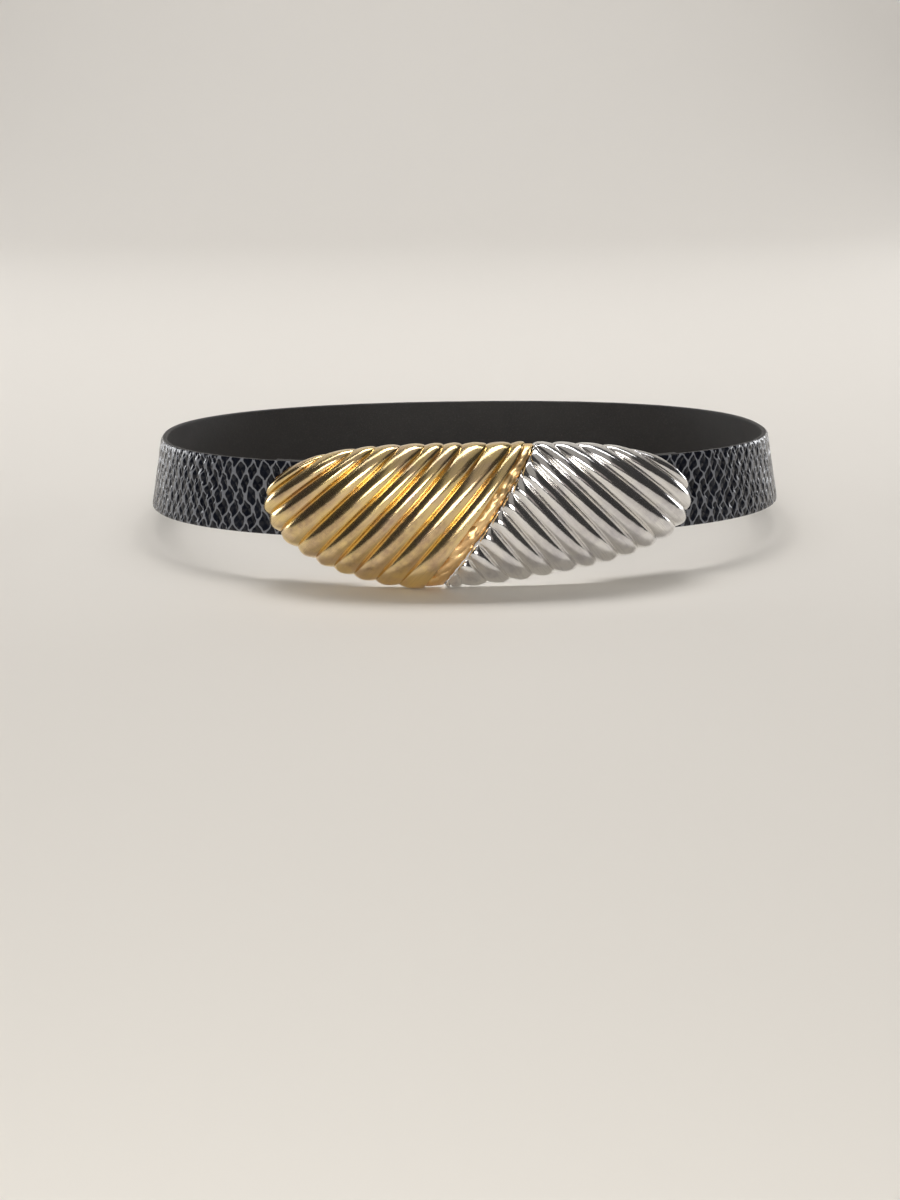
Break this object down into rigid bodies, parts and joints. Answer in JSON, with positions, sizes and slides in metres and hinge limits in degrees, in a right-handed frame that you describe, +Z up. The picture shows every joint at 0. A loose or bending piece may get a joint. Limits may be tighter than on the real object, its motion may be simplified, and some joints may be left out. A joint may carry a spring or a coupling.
{
  "type": "snakeskin belt",
  "caption": "Snakeskin belt fastened in a loop, with a two-part ribbed cast buckle in gold and silver finish.",
  "frame": {"origin": "on the ground under the middle of the belt's bounding box, with the fastened loop standing on its lower edge", "axes": "+Z up, the buckle at the front towards -Y, the gold half towards -X and the silver half towards +X"},
  "size_m": [0.2528, 0.2056, 0.0524],
  "materials": {
    "gold_metal": "polished gold plate over cast metal, lightly worn",
    "silver_metal": "polished silver plate over cast metal, lightly pitted",
    "clasp_steel": "plain satin metal, hidden behind the buckle",
    "snakeskin": "glossy black snakeskin with pale lines between the scales"
  },
  "bodies": {
    "root": {"gold_half": "gold_metal", "silver_half": "silver_metal", "clasp_plate": "clasp_steel", "strap": "snakeskin"}
  },
  "joints": []
}
